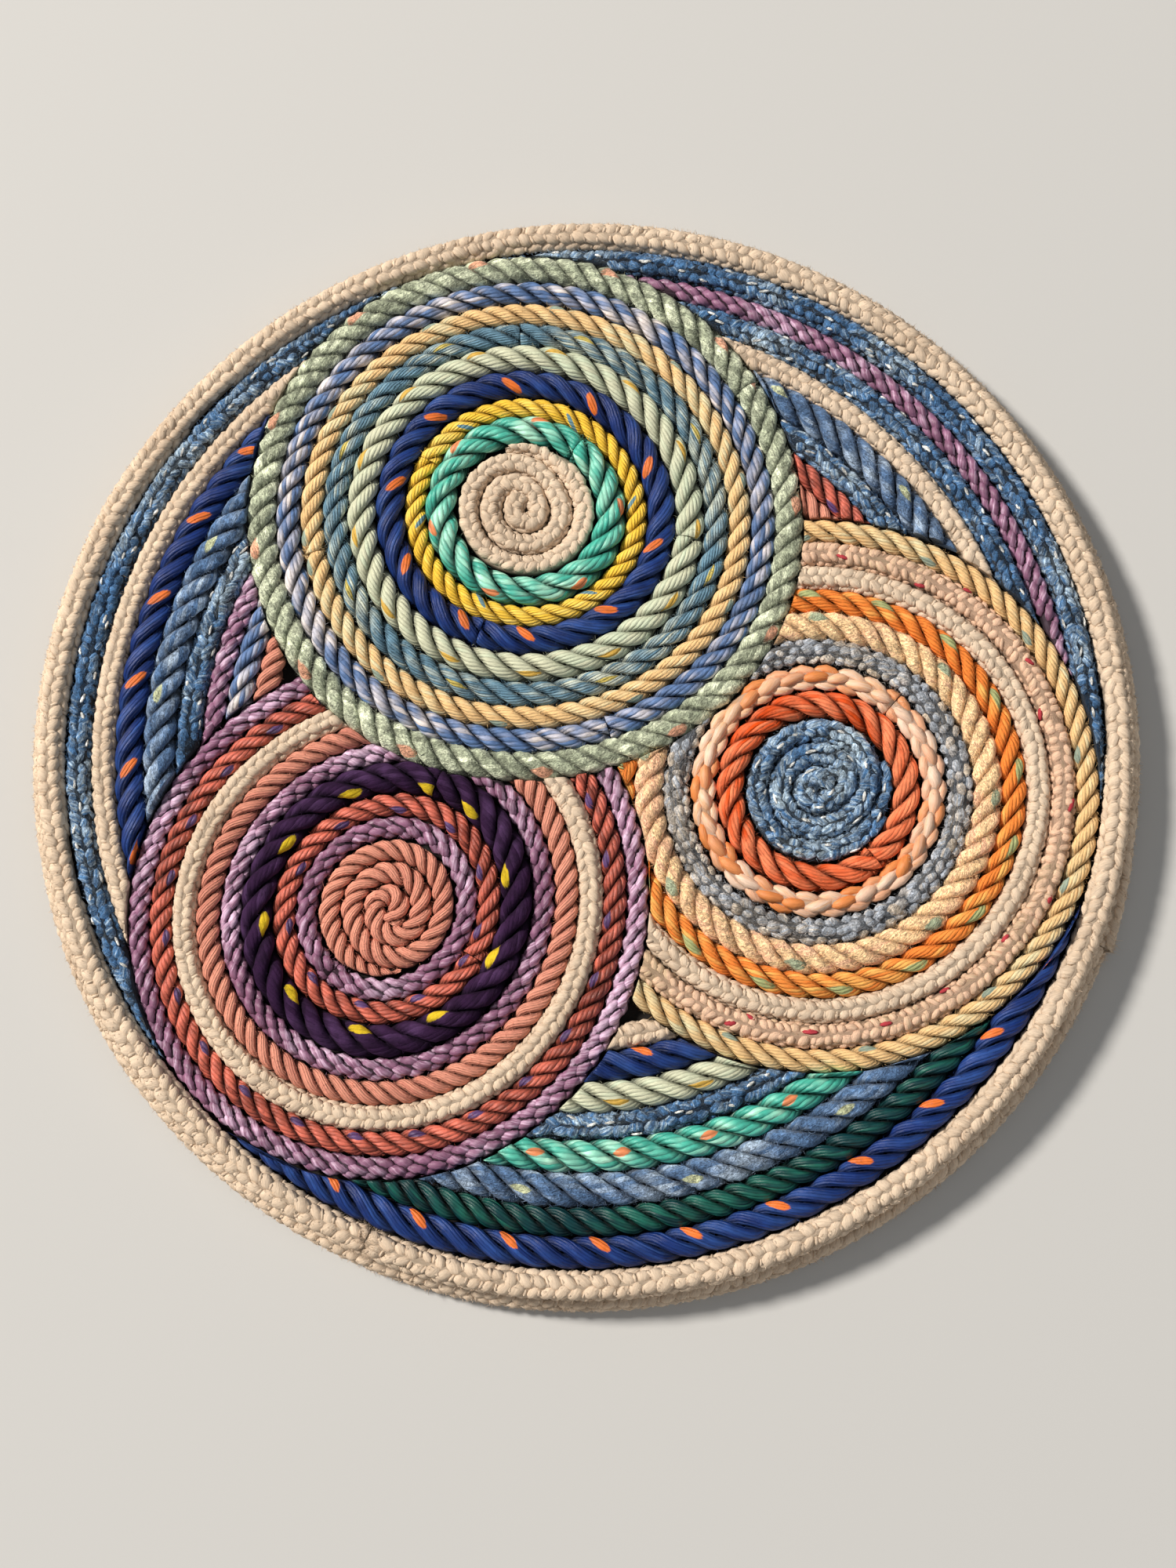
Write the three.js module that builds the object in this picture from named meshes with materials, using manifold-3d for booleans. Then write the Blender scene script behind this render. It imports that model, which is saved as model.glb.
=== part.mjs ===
// Rope mosaic on a round plywood board, in millimetres, +Z out of the face.
// The origin is the centre of the board's back, +Y is the top of the picture side.
// Ropes lie side by side, glued to the face: three ringed circles that overlap,
// rows that follow the rim in the gaps between them, and a two-turn rim of cotton braid.
import * as THREE from 'three';
import { mergeVertices } from 'three/addons/utils/BufferGeometryUtils.js';
import Module from 'manifold-3d';

const wasm = await Module();
wasm.setup();

// Board
const BOARD_RADIUS = 228.6;
const BOARD_THICKNESS = 12;
const BOARD_COLOR = '#c09a66';

// Clearances
const GLUE_LINE = 0.3;
const ROPE_GAP = 0.4;
const BUTT_GAP = 0.9;

// Rim turns
const RIM_WIDTH = 11.5;
const FRONT_TURN_RADIUS = 229.6;
const SIDE_TURN_RADIUS = BOARD_RADIUS + ROPE_GAP + RIM_WIDTH / 2;
const FRONT_JOINT = 247.5;
const SIDE_JOINT = 337.5;
const SIDE_JOINT_STEP = 2.6;
const SIDE_JOINT_RUN = 12;

// Ropes
const ROPE_FLATTEN = 0.95;
const FIELD_RADIUS = 222.6;
const SHORTEST_PIECE = 12;
const SMALLEST_PIECE = 700;
const TIP = 0.3;

// Coils
const COIL_TURNS = 3;
const COIL_EYE = 0.56;
const COIL_DIVE = 0.35;
const COIL_TAIL = 0.67;
const COIL_STEPS = 32;
const COIL_SIDE_GAP = 0.2;

// Hand-laid drift of the whole plan, fading out at the rim
const DRIFT = 4;
const DRIFT_WAVE = 420;
const DRIFT_PHASE_X = 0.7;
const DRIFT_PHASE_Y = 2.1;

// Facets
const RING_SIDES = 18;
const RIM_SIDES = 36;

const KINDS = {
  white: { width: 10.0, color: '#dfcab2', roughness: 0.95 },
  cream: { width: 10.3, color: '#e6c6a6', roughness: 0.95 },
  sky: { width: 10.3, color: '#527aa2', roughness: 0.9 },
  lilac: { width: 9.2, color: '#9a7098', roughness: 0.35 },
  terracotta: { width: 9.4, color: '#cc6650', roughness: 0.45 },
  night: { width: 13.0, color: '#2c1738', roughness: 0.85 },
  rose: { width: 9.6, color: '#d68d76', roughness: 0.8 },
  peach: { width: 11.0, color: '#efdcc6', roughness: 0.45 },
  amber: { width: 10.3, color: '#f0923c', roughness: 0.7 },
  orange: { width: 11.3, color: '#f4783a', roughness: 0.7 },
  blush: { width: 11.3, color: '#fbe0b2', roughness: 0.95 },
  straw: { width: 9.6, color: '#eecb90', roughness: 0.75 },
  yellow: { width: 9.0, color: '#f0c23e', roughness: 0.6 },
  seafoam: { width: 11.3, color: '#c0c9aa', roughness: 0.95 },
  faded: { width: 10.3, color: '#7496a8', roughness: 0.8 },
  slate: { width: 11.0, color: '#9ea5ae', roughness: 0.95 },
  periwinkle: { width: 10.3, color: '#6580aa', roughness: 0.5 },
  mint: { width: 12.0, color: '#d3d4b2', roughness: 0.55 },
  teal: { width: 12.7, color: '#42b098', roughness: 0.36 },
  royal: { width: 12.0, color: '#17346e', roughness: 0.48 },
  denim: { width: 13.0, color: '#6480a8', roughness: 0.95 },
  forest: { width: 11.3, color: '#0a423c', roughness: 0.4 },
};

// Circles, front one first. Rings run outward from the coil, and each circle touches the rim.
const CIRCLES = [
  {
    name: 'top', bearing: 105, coil: 'white', coilStart: 20, joint: 50,
    rings: ['teal', 'yellow', 'royal', 'mint', 'faded', 'straw', 'periwinkle', 'seafoam'],
  },
  {
    name: 'left', bearing: 223.2, coil: 'rose', coilStart: 200, joint: 230,
    rings: ['lilac', 'terracotta', 'night', 'lilac', 'rose', 'white', 'terracotta', 'lilac'],
  },
  {
    name: 'right', bearing: 347, coil: 'sky', coilStart: 300, joint: 310,
    rings: ['orange', 'peach', 'slate', 'blush', 'amber', 'white', 'cream', 'straw'],
  },
];
const JOINT_TURN = 100;

// Gaps between the circles, filled with rows that run inward from the rim.
const GAP_REACH = 60;
const GAPS = [
  {
    name: 'west', bearing: 164,
    rows: ['sky', 'white', 'royal', 'denim', 'sky', 'lilac', 'periwinkle', 'rose'],
  },
  {
    name: 'south', bearing: 285,
    rows: ['royal', 'forest', 'denim', 'teal', 'sky', 'mint', 'royal', 'white'],
  },
  {
    name: 'east', bearing: 46,
    rows: ['sky', 'lilac', 'sky', 'white', 'denim', 'sky', 'terracotta', 'rose'],
  },
];

const radians = THREE.MathUtils.degToRad;
const degrees = THREE.MathUtils.radToDeg;
const ropeBase = BOARD_THICKNESS + GLUE_LINE;
const CUT_LOW = -5;
const CUT_HIGH = 60;
const CENTRE = new THREE.Vector2(0, 0);
const SAME_POINT = 1e-4;

function toSolid(geometry) {
  const bare = geometry.clone();
  bare.deleteAttribute('normal');
  bare.deleteAttribute('uv');
  const merged = mergeVertices(bare, SAME_POINT);
  return new wasm.Manifold(new wasm.Mesh({
    numProp: 3,
    vertProperties: new Float32Array(merged.attributes.position.array),
    triVerts: new Uint32Array(merged.index.array),
  }));
}

function toGeometry(solid, place) {
  const { vertProperties, triVerts } = solid.getMesh();
  const positions = new Float32Array(vertProperties);
  const point = new THREE.Vector3();
  for (let i = 0; i < positions.length; i += 3) {
    place(point.fromArray(positions, i));
    point.toArray(positions, i);
  }
  const geometry = new THREE.BufferGeometry();
  geometry.setAttribute('position', new THREE.BufferAttribute(positions, 3));
  geometry.setIndex(new THREE.BufferAttribute(new Uint32Array(triVerts), 1));
  geometry.computeVertexNormals();
  return geometry;
}

// Six-sided rope section: [sideways, up] offsets from the rope's middle.
function ropeSection(width) {
  const side = width / 2;
  const up = side * ROPE_FLATTEN;
  return [[side, 0], [side / 2, up], [-side / 2, up], [-side, 0], [-side / 2, -up], [side / 2, -up]];
}

function ropeMiddle(width) {
  return ropeBase + (width / 2) * ROPE_FLATTEN;
}

function ringSolid(centre, radius, width, middle, sides) {
  const section = ropeSection(width);
  const profile = [...section, section[0]].map(
    ([across, up]) => new THREE.Vector2(radius + across, up),
  );
  const geometry = new THREE.LatheGeometry(profile, sides);
  geometry.rotateX(Math.PI / 2);
  geometry.translate(centre.x, centre.y, middle);
  return toSolid(geometry);
}

function discPrism(centre, radius, sides) {
  const geometry = new THREE.CylinderGeometry(radius, radius, CUT_HIGH - CUT_LOW, sides);
  geometry.rotateX(Math.PI / 2);
  geometry.translate(centre.x, centre.y, (CUT_HIGH + CUT_LOW) / 2);
  return toSolid(geometry);
}

function sectorPrism(centre, reach, from, to) {
  const shape = new THREE.Shape();
  shape.moveTo(0, 0);
  shape.lineTo(reach * Math.cos(radians(from)), reach * Math.sin(radians(from)));
  shape.absarc(0, 0, reach, radians(from), radians(to), false);
  shape.lineTo(0, 0);
  const geometry = new THREE.ExtrudeGeometry(shape, {
    depth: CUT_HIGH - CUT_LOW, bevelEnabled: false, curveSegments: RING_SIDES,
  });
  geometry.translate(centre.x, centre.y, CUT_LOW);
  return toSolid(geometry);
}

// A rope wound round the coil's middle. Each turn runs level, then dives in by one width.
class CoilCurve extends THREE.Curve {
  constructor(centre, width, start, middle) {
    super();
    Object.assign(this, { centre, width, start, middle });
  }

  getPoint(t, target = new THREE.Vector3()) {
    const last = COIL_TURNS + COIL_DIVE * COIL_TAIL;
    const turn = COIL_DIVE + t * (last - COIL_DIVE);
    const whole = Math.floor(turn);
    const climb = THREE.MathUtils.smoothstep(turn - whole, 0, COIL_DIVE);
    const radius = this.width * (COIL_EYE + whole - 1 + climb);
    const angle = radians(this.start) + 2 * Math.PI * turn;
    const x = this.centre.x + radius * Math.cos(angle);
    const y = this.centre.y + radius * Math.sin(angle);
    return target.set(x, y, this.middle);
  }
}

function coilRadius(width) {
  return width * (COIL_TURNS - 1 + COIL_EYE + 0.5);
}

function coilSolid(circle, width) {
  const outline = ropeSection(width - 2 * COIL_SIDE_GAP);
  const shape = new THREE.Shape(outline.map(([across, up]) => new THREE.Vector2(up, across)));
  const path = new CoilCurve(circle.centre, width, circle.coilStart, ropeMiddle(width));
  const rope = new THREE.ExtrudeGeometry(shape, { steps: COIL_STEPS, extrudePath: path });
  return toSolid(rope).intersect(discPrism(circle.centre, coilRadius(width), RING_SIDES));
}

// Half the angle, seen from a centre, over which a covering circle hides a given radius.
function hiddenHalfAngle(centre, radius, cover) {
  const apart = centre.distanceTo(cover.centre);
  const reach = cover.radius + ROPE_GAP;
  const cosine = (radius * radius + apart * apart - reach * reach) / (2 * radius * apart);
  return degrees(Math.acos(THREE.MathUtils.clamp(cosine, -1, 1)));
}

// The arcs of a ring that no cover hides, as [from, to] in degrees; none hidden gives null.
// A covered end stops where TIP of the width is still bare, so that no bevel is paper thin.
function openArcs(centre, radius, width, covers) {
  const hidden = [];
  for (const cover of covers) {
    const halves = [-TIP, 0, TIP].map((part) => hiddenHalfAngle(centre, radius + part * width, cover));
    if (halves[1] === 0) continue;
    const half = Math.min(...halves.filter((value) => value > 0));
    const toward = cover.centre.clone().sub(centre);
    const bearing = degrees(Math.atan2(toward.y, toward.x));
    hidden.push([bearing - half, bearing + half]);
  }
  if (hidden.length === 0) return null;
  const turned = hidden.map(([from, to]) => {
    const start = THREE.MathUtils.euclideanModulo(from, 360);
    return [start, start + to - from];
  }).sort((a, b) => a[0] - b[0]);
  const arcs = [];
  turned.forEach(([, to], index) => {
    const next = turned[(index + 1) % turned.length][0] + (index + 1 === turned.length ? 360 : 0);
    if (next > to) arcs.push([to, next]);
  });
  return arcs;
}

function arcLength(radius, [from, to]) {
  return radians(to - from) * radius;
}

// A rope's ring, cut to an arc and to the covers. What is under SMALLEST_PIECE mm3 is an offcut.
function cutRope(centre, radius, kind, arc, covers, sides) {
  const { width } = KINDS[kind];
  let rope = ringSolid(centre, radius, width, ropeMiddle(width), sides);
  rope = rope.intersect(sectorPrism(centre, radius + width, arc[0], arc[1]));
  for (const cover of covers) {
    rope = rope.subtract(discPrism(cover.centre, cover.radius + ROPE_GAP, RING_SIDES));
  }
  const pieces = rope.decompose().filter((piece) => piece.volume() > SMALLEST_PIECE);
  return pieces.sort((a, b) => b.volume() - a.volume())[0];
}

function driftPlan(point) {
  const out = Math.hypot(point.x, point.y) / FIELD_RADIUS;
  const fade = DRIFT * Math.max(0, 1 - out * out);
  const wave = (2 * Math.PI) / DRIFT_WAVE;
  const dx = fade * Math.sin(wave * point.y + DRIFT_PHASE_X);
  const dy = fade * Math.sin(wave * point.x + DRIFT_PHASE_Y);
  point.x += dx;
  point.y += dy;
}

// The side turn's upper end stands out from the lower end that it meets.
function stepSideJoint(point) {
  const bearing = degrees(Math.atan2(point.y, point.x));
  const past = THREE.MathUtils.euclideanModulo(bearing - SIDE_JOINT, 360);
  if (past > SIDE_JOINT_RUN) return;
  const out = SIDE_JOINT_STEP * (1 - past / SIDE_JOINT_RUN);
  const scale = 1 + out / Math.hypot(point.x, point.y);
  point.x *= scale;
  point.y *= scale;
}

const stay = () => {};
const artwork = new THREE.Group();

function addNode(name, geometry, material) {
  const mesh = new THREE.Mesh(geometry, material);
  mesh.name = name;
  artwork.add(mesh);
}

const ropeMaterials = Object.fromEntries(
  Object.entries(KINDS).map(([kind, { color, roughness }]) => [
    kind, new THREE.MeshStandardMaterial({ name: kind, color, roughness, metalness: 0 }),
  ]),
);

function addBoard() {
  const geometry = new THREE.CylinderGeometry(BOARD_RADIUS, BOARD_RADIUS, BOARD_THICKNESS, RIM_SIDES);
  geometry.rotateX(Math.PI / 2);
  geometry.translate(0, 0, BOARD_THICKNESS / 2);
  const material = new THREE.MeshStandardMaterial({ color: BOARD_COLOR, roughness: 0.8, metalness: 0 });
  addNode('board', geometry, material);
}

function addRimTurn(name, radius, middle, joint, place) {
  const half = degrees(BUTT_GAP / 2 / radius);
  const ring = ringSolid(CENTRE, radius, RIM_WIDTH, middle, RIM_SIDES);
  const sector = sectorPrism(CENTRE, radius + RIM_WIDTH, joint + half, joint + 360 - half);
  addNode(name, toGeometry(ring.intersect(sector), place), ropeMaterials.white);
}

function layOutCircles() {
  for (const circle of CIRCLES) {
    let edge = coilRadius(KINDS[circle.coil].width);
    circle.layers = circle.rings.map((kind) => {
      const { width } = KINDS[kind];
      const radius = edge + ROPE_GAP + width / 2;
      edge += ROPE_GAP + width;
      return { kind, radius, width };
    });
    circle.radius = edge;
    const out = FIELD_RADIUS - edge;
    const bearing = radians(circle.bearing);
    circle.centre = new THREE.Vector2(out * Math.cos(bearing), out * Math.sin(bearing));
  }
}

function addRope(name, centre, radius, kind, arc, covers, sides) {
  if (arcLength(radius, arc) < SHORTEST_PIECE) return;
  const solid = cutRope(centre, radius, kind, arc, covers, sides);
  if (solid) addNode(name, toGeometry(solid, driftPlan), ropeMaterials[kind]);
}

function addCircle(circle, covers) {
  const coil = coilSolid(circle, KINDS[circle.coil].width);
  addNode(`${circle.name}_coil`, toGeometry(coil, driftPlan), ropeMaterials[circle.coil]);
  circle.layers.forEach(({ kind, radius, width }, index) => {
    const open = openArcs(circle.centre, radius, width, covers);
    const joint = circle.joint + index * JOINT_TURN;
    const half = degrees(BUTT_GAP / 2 / radius);
    const arcs = open ?? [[joint + half, joint + 360 - half]];
    arcs.forEach((arc, part) => {
      const name = `${circle.name}_ring_${index + 1}${arcs.length > 1 ? 'ab'[part] : ''}`;
      addRope(name, circle.centre, radius, kind, arc, covers, RING_SIDES);
    });
  });
}

function addGap(gap) {
  let edge = FIELD_RADIUS;
  gap.rows.forEach((kind, index) => {
    const { width } = KINDS[kind];
    const radius = edge - width / 2;
    edge -= width + ROPE_GAP;
    const arcs = openArcs(CENTRE, radius, width, CIRCLES) ?? [];
    const arc = arcs.find(([from, to]) => {
      const aside = THREE.MathUtils.euclideanModulo((from + to) / 2 - gap.bearing + 180, 360) - 180;
      return Math.abs(aside) < GAP_REACH;
    });
    if (arc) addRope(`${gap.name}_row_${index + 1}`, CENTRE, radius, kind, arc, CIRCLES, RIM_SIDES);
  });
}

layOutCircles();
addBoard();
addRimTurn('rim_front_turn', FRONT_TURN_RADIUS, ropeMiddle(RIM_WIDTH), FRONT_JOINT, stay);
const sideMiddle = BOARD_THICKNESS - (RIM_WIDTH / 2) * ROPE_FLATTEN;
addRimTurn('rim_side_turn', SIDE_TURN_RADIUS, sideMiddle, SIDE_JOINT, stepSideJoint);
CIRCLES.forEach((circle, index) => addCircle(circle, CIRCLES.slice(0, index)));
GAPS.forEach(addGap);

export default artwork;
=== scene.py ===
"""Looks of the round rope mosaic.

Every rope of the CAD plan is laid up again from its strands or stitches, cut off at the ropes it runs
under, and given its fibres. Lengths are millimetres until a mesh is made, +Z is out of the face.
"""

import functools
import math

import bpy
import numpy as np
from mathutils import Matrix, Vector


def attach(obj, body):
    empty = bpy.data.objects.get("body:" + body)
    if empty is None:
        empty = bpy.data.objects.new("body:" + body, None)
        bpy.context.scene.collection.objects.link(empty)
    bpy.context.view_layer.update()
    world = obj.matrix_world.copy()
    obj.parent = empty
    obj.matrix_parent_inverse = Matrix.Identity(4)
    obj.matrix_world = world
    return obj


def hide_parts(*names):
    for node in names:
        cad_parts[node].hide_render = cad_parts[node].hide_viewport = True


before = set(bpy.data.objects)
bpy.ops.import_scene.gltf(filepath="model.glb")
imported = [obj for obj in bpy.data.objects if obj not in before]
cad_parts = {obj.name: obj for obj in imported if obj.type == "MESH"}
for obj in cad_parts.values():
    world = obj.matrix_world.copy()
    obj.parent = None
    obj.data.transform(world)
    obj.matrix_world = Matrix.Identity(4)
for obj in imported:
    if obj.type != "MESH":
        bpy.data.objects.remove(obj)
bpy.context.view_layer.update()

MM = 0.001
TURN = 2 * math.pi

# ---- The CAD's plan
BOARD_RADIUS = 228.6
BOARD_THICKNESS = 12.0
GLUE_LINE = 0.3
ROPE_GAP = 0.4
BUTT_GAP = 0.9
BUTT_SWELL = 0.3       # the cut ends of a rope swell this much into the gap between them
RIM_WIDTH = 11.5
FRONT_TURN_RADIUS = 229.6
SIDE_TURN_RADIUS = BOARD_RADIUS + ROPE_GAP + RIM_WIDTH / 2
FRONT_JOINT = 247.5
SIDE_JOINT = 337.5
SIDE_JOINT_STEP = 2.6
SIDE_JOINT_RUN = 12.0
ROPE_FLATTEN = 0.95
FIELD_RADIUS = 222.6
TIP = 0.3
END_TAPER = 14.0       # a cut rope's end narrows on for this much, as far as its cut lets it
COIL_TURNS = 3
COIL_EYE = 0.56
COIL_DIVE = 0.35
COIL_TAIL = 0.67
COIL_SAMPLES = 900
PLUG_SAMPLES = 12
COIL_PLUG = 0.5        # in rope widths
COIL_SLIMMER = 0.7     # a coil's rope is drawn this much slimmer, so that its turns can be told apart
JOINT_TURN = 100
DRIFT = 4.0
DRIFT_WAVE = 420.0
DRIFT_PHASE_X = 0.7
DRIFT_PHASE_Y = 2.1

CIRCLES = [
    dict(name="top", bearing=105, coil="white", coil_start=20, joint=50, rings=[
        "teal", "yellow", "royal", "mint", "faded", "straw", "periwinkle", "seafoam",
    ]),
    dict(name="left", bearing=223.2, coil="rose", coil_start=200, joint=230, rings=[
        "lilac", "terracotta", "night", "lilac", "rose", "white", "terracotta", "lilac",
    ]),
    dict(name="right", bearing=347, coil="sky", coil_start=300, joint=310, rings=[
        "orange", "peach", "slate", "blush", "amber", "white", "cream", "straw",
    ]),
]
GAPS = [
    dict(name="west", bearing=164, rows=[
        "sky", "white", "royal", "denim", "sky", "lilac", "periwinkle", "rose",
    ]),
    dict(name="south", bearing=285, rows=[
        "royal", "forest", "denim", "teal", "sky", "mint", "royal", "white",
    ]),
    dict(name="east", bearing=46, rows=[
        "sky", "lilac", "sky", "white", "denim", "sky", "terracotta", "rose",
    ]),
]

# ---- Rope kinds
# Widths are the CAD's. A laid rope's lay is its pitch in widths, and yarn is how deep its yarns show.
# fuzz is hairs per mm, deep is how much painted shade darkens the hollows, and mottle is how dark the
# patches are.
STITCHED = dict(
    build="stitched", columns=6, turn=0, brick=0.5, mirrored=True, stems=False, roughness=0.95,
)
BRAID = dict(
    STITCHED, slant=58, oval=(8.4, 5.6, 3.6), pitch=5.2, blunt=2.6, dip=0.1, loose=1.6, core=0.86,
)
PLAIT = dict(STITCHED, pitch=8.2, blunt=2.0, loose=0.5, core=0.72)
LAID = dict(
    build="laid", lay=2.8, yarns=12, yarn=0.5, lumps=0.03, yarn_turn=1.0, fibre=0.5, roughness=0.95,
    fleck_breadth=3.0, fleck_turn=0.9, fleck_every=1.0,
)

KINDS = {
    "white": dict(
        BRAID, width=10.0, stems=True, colour="#ddc8b0", faded="#cdb79f", fuzz=1.4, fibre=0.3, deep=0.4,
    ),
    "cream": dict(
        BRAID, width=10.3, pitch=3.7, slant=68, oval=(7.0, 4.0, 3.4), loose=2.4, colour="#e5c0a4",
        faded="#ccb292", fuzz=3.0, fibre=0.5, deep=0.45, fleck="#b8414a", dashes=(30.0, 7.3, 2.8), core=0.9,
    ),
    "sky": dict(
        BRAID, width=10.3, pitch=4.6, slant=50, oval=(7.4, 6.0, 4.2), loose=2.6, dip=0.16, colour="#446b95",
        faded="#b4c8d6", roughness=0.9, fuzz=8.0, fibre=1.3, fleck="#dfe0dc", dashes=(11.0, 5.6, 1.8),
        lumps=0.28, core=0.84, deep=0.92, mottle=0.32,
    ),
    "lilac": dict(
        PLAIT, width=9.2, slant=44, mirrored=False, brick=-0.61, oval=(11.2, 6.4, 5.6), dip=0.16,
        colour="#90637f", faded="#dcbcd6", roughness=0.35, fuzz=0.3, fibre=0.2, deep=0.95, core=0.6,
        mottle=0.18,
    ),
    "night": dict(
        LAID, width=13.0, colour="#2c1534", faded="#452d50", roughness=0.85, fuzz=2.0, yarn=0.3, lumps=0.1,
        fleck="#d8b82a", fleck_length=11.0, fleck_breadth=4.2, mottle=0.2,
    ),
    "peach": dict(
        PLAIT, width=11.0, turn=30, pitch=10.2, slant=19, oval=(14.4, 7.4, 5.2), dip=0.24, loose=1.0,
        colour="#ebcdb6", faded="#ebb88e", roughness=0.45, fuzz=0.3, fibre=0.15, fleck="#e08a4c",
        two_tone=(-0.45, 1.15), deep=0.45,
    ),
    "terracotta": dict(
        LAID, width=9.4, colour="#d66e5a", faded="#7a3428", roughness=0.45, fuzz=1.6, fibre=0.3, yarn=0.7,
        yarns=9, fleck="#5a3f6e", fleck_length=8.0, deep=0.7, mottle=0.2,
    ),
    "rose": dict(
        LAID, width=9.6, lay=2.4, colour="#eb9f87", faded="#cb8270", roughness=0.8, fuzz=3.2, fibre=0.6,
        yarn=0.55, yarn_turn=0.3,
    ),
    "amber": dict(
        LAID, width=10.3, lay=3.1, colour="#f4893c", faded="#f2b864", roughness=0.7, fuzz=3.0, yarn=0.7,
        fleck="#a9b07a", fleck_length=12.0, fleck_breadth=3.4, deep=0.35,
    ),
    "orange": dict(
        LAID, width=11.3, lay=2.9, colour="#ff9064", faded="#d94c12", roughness=0.7, fuzz=3.5, yarn=0.6,
        yarn_turn=0.8, deep=0.65, mottle=0.1,
    ),
    "blush": dict(
        LAID, width=11.3, lay=2.6, colour="#ffd8a5", faded="#eebb98", fuzz=18.0, fibre=1.0, yarn=0.05,
        lumps=0.2, fleck="#a9b496", fleck_length=9.0, fleck_breadth=4.0, fleck_every=2.0, full=1.14,
        deep=0.35,
    ),
    "straw": dict(
        LAID, width=9.6, lay=3.0, colour="#fbd094", faded="#e4dab0", roughness=0.75, fuzz=3.0, yarn=0.55,
        fleck="#9dad9c", fleck_length=8.0, fleck_every=2.0, deep=0.36,
    ),
    "yellow": dict(
        LAID, width=9.0, colour="#fccb45", faded="#f6d56c", roughness=0.6, fuzz=0.5, fibre=0.35, yarn=0.6,
        fleck="#6f93a0", fleck_length=7.5, fleck_breadth=2.2, fleck_turn=0.3, fleck_every=2.0, deep=0.38,
    ),
    "seafoam": dict(
        LAID, width=11.3, lay=2.6, colour="#a3ab92", faded="#dfe6c8", fuzz=15.0, fibre=1.0, yarn=0.05,
        lumps=0.2, fleck="#d9a183", fleck_length=10.0, fleck_breadth=4.0, fleck_every=2.0, full=1.14,
        deep=0.6, mottle=0.2,
    ),
    "faded": dict(
        LAID, width=10.3, lay=3.2, colour="#6f95ab", faded="#cfd6c6", roughness=0.8, fuzz=7.0, fibre=0.7,
        yarn=0.8, yarns=16, fleck="#d8c46a", fleck_length=11.0, fleck_breadth=1.8, fleck_every=2.0,
        mottle=0.18,
    ),
    "slate": dict(
        PLAIT, width=11.0, turn=30, pitch=5.6, slant=22, oval=(7.8, 7.2, 5.2), dip=0.24, loose=2.4,
        lumps=0.2, colour="#a3abb6", faded="#c9bdac", fuzz=11.0, fibre=1.0, core=0.8, two_tone=(-1.4, 0.9),
        fleck="#c4b39c", deep=0.8, mottle=0.22,
    ),
    "periwinkle": dict(
        LAID, width=10.3, lay=3.0, colour="#5c7aaa", faded="#e6dcd8", roughness=0.5, fuzz=2.2, fibre=0.4,
        yarn=0.7, yarns=9, deep=0.7, mottle=0.2,
    ),
    "mint": dict(
        LAID, width=12.0, lay=2.9, colour="#d4d6b8", faded="#c4d0b4", roughness=0.55, fuzz=1.6, fibre=0.35,
        yarn=0.6, fleck="#d8ae4c", fleck_length=11.0, fleck_breadth=2.2,
    ),
    "teal": dict(
        LAID, width=12.7, lay=2.9, colour="#49b6a1", faded="#b4ecd2", roughness=0.36, fuzz=0.3, fibre=0.12,
        yarn=0.8, yarns=9, fleck="#e08a5a", fleck_length=8.0, fleck_breadth=3.2, fleck_turn=1.1, deep=0.68,
        mottle=0.12,
    ),
    "royal": dict(
        LAID, width=12.0, lay=3.2, colour="#0b2c6f", faded="#25488c", roughness=0.48, fuzz=1.5, fibre=0.25,
        yarn_turn=0.3, fleck="#e8742c", fleck_length=8.5, fleck_breadth=4.4, fleck_turn=0.3, mottle=0.12,
    ),
    "denim": dict(
        LAID, width=13.0, lay=2.7, colour="#547299", faded="#a4b6ca", fuzz=12.0, fibre=1.1, yarn=0.15,
        lumps=0.14, fleck="#b9bf9a", fleck_length=9.0, fleck_every=2.0, mottle=0.16, deep=0.6,
    ),
    "forest": dict(
        LAID, width=11.3, lay=2.5, colour="#04363a", faded="#1a6052", roughness=0.4, fuzz=0.4, fibre=0.12,
        yarn_turn=0.6, deep=0.8, mottle=0.15,
    ),
}

# ---- Sizes of what is laid on the plan
PLUMP = {"laid": 0.7, "stitched": 1.0}   # a soft rope is this much wider than its CAD tube
SQUARED = 2.5          # neighbours press a rope's round section towards a square: 2 is round
UNCUT = -1000.0        # how far points lie inside a cut where there is none
TINY = 1e-6

LAY_HAND = -1          # right-hand lay
STRANDS = 3
STRAND_CENTRE = 0.53   # in rope radii
STRAND_HIGH = 0.47
STRAND_WIDE = 0.56
STRAND_RING = (180, 255, 300, 330, 360, 390, 420, 465)   # finer on the strand's outer side
SMOOTH_STEP = 2.0
LUMPY_STEP = 1.8
LUMPY = 0.1            # lumps past which a strand needs the closer steps
ROPE_SWAY = 0.025      # share of its size by which a rope swells and narrows
STRAND_SWAY = 0.05     # and each strand besides
STRAND_WAVES = (23.0, 11.0)
LAY_SWAY = 0.02        # turns by which strands run ahead and lag
LAY_WAVES = (190.0, 83.0)
FLECK_SWAY = 0.14      # turns by which a rope's flecks lie off its top
CAP_SHADE = 0.5

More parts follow.
